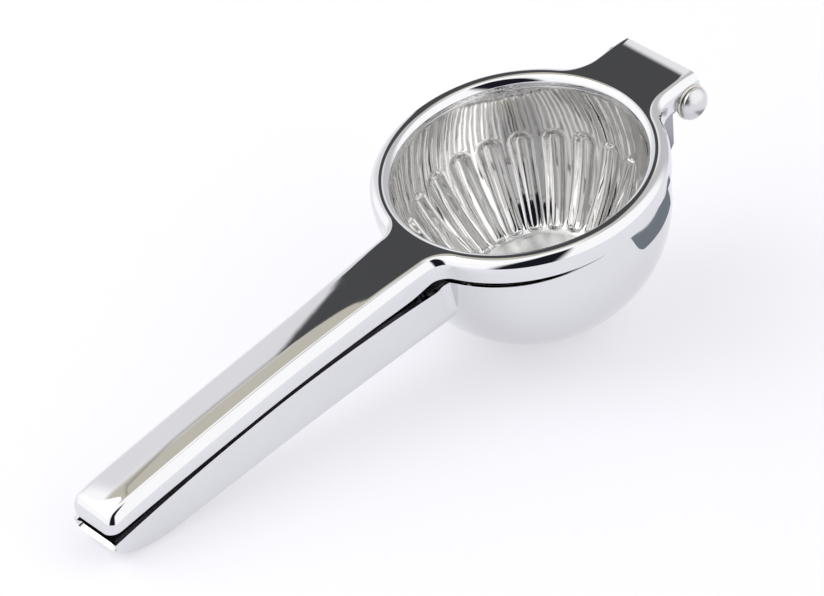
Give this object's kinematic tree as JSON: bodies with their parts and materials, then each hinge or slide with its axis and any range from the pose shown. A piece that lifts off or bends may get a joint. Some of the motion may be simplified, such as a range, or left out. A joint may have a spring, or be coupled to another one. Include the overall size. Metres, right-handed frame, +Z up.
{
  "type": "lemon squeezer",
  "caption": "Hand-held lever lemon squeezer in polished steel: a fluted press cup in a ring hinges over a bowl with juice holes, worked by two long channel handles.",
  "frame": {"origin": "the point where the bowl's dome touches the table when the closed tool lies on its bowl and its lower handle's tip", "axes": "+X runs from the handles to the hinge, +Y along the hinge pin to the far side, +Z up from the table"},
  "size_m": [0.207, 0.082, 0.0642],
  "materials": {
    "polished_steel": "mirror-polished steel",
    "plain_steel": "plain satin steel"
  },
  "bodies": {
    "lower": {"bowl": "polished_steel", "lower_handle": "polished_steel", "hinge_bracket": "plain_steel", "hinge_spacer": "plain_steel"},
    "upper": {"upper_lever": "polished_steel", "press_cup": "polished_steel", "hinge_pin": "polished_steel", "far_pin_head": "polished_steel", "near_washer": "plain_steel", "far_washer": "plain_steel"}
  },
  "joints": [
    {"name": "lever_hinge", "type": "hinge", "parent": "lower", "child": "upper", "pos_m": [0.05201, 0, 0.05621], "axis": [0, 1, 0], "range_deg": [0, 150]}
  ]
}
